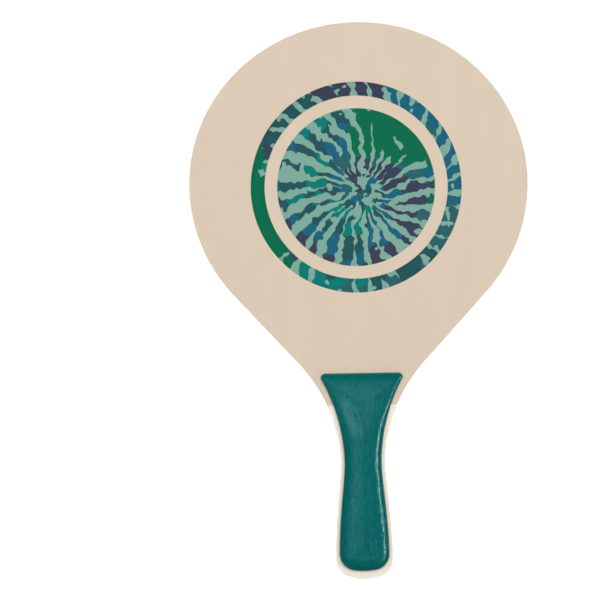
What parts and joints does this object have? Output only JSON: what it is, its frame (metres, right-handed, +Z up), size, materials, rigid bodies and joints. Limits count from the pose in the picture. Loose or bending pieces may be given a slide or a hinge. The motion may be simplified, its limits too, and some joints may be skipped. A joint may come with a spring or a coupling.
{
  "type": "frescobol racket",
  "caption": "Wooden beach racket: round plywood head with a printed disc and ring, straight flanks, and a waisted handle with crowned grip scales on both faces.",
  "frame": {"origin": "middle of the box's underside: below the rounded butt of the handle, in the blade's middle plane", "axes": "+Z up along the racket from butt to head; +X across the face, to the right for someone who looks at the printed front; +Y through the thickness, from the printed front to the plain back"},
  "size_m": [0.231, 0.0288, 0.38],
  "materials": {
    "face_veneer": "light veneer, sanded and thinly varnished",
    "crossband": "end grain of cross-laid veneer, sanded",
    "core": "light veneer, sanded",
    "film": "smooth tan ground print under a satin varnish",
    "print_disc": "dyed-cloth pattern in mint, green, blue and violet ink, satin",
    "print_ring": "dyed-cloth pattern in blue, teal, violet and green ink, satin",
    "glue": "dried wood glue, hidden",
    "grip_lacquer": "teal stain under a clear gloss lacquer, fine upright grain"
  },
  "bodies": {
    "root": {"face_veneer_front": "face_veneer", "crossband_front": "crossband", "core_veneer": "core", "crossband_back": "crossband", "face_veneer_back": "face_veneer", "film_front": "film", "film_back": "film", "print_disc": "print_disc", "print_ring": "print_ring", "glue_bed_front": "glue", "glue_bed_back": "glue", "grip_scale_front": "grip_lacquer", "grip_scale_back": "grip_lacquer"}
  },
  "joints": []
}
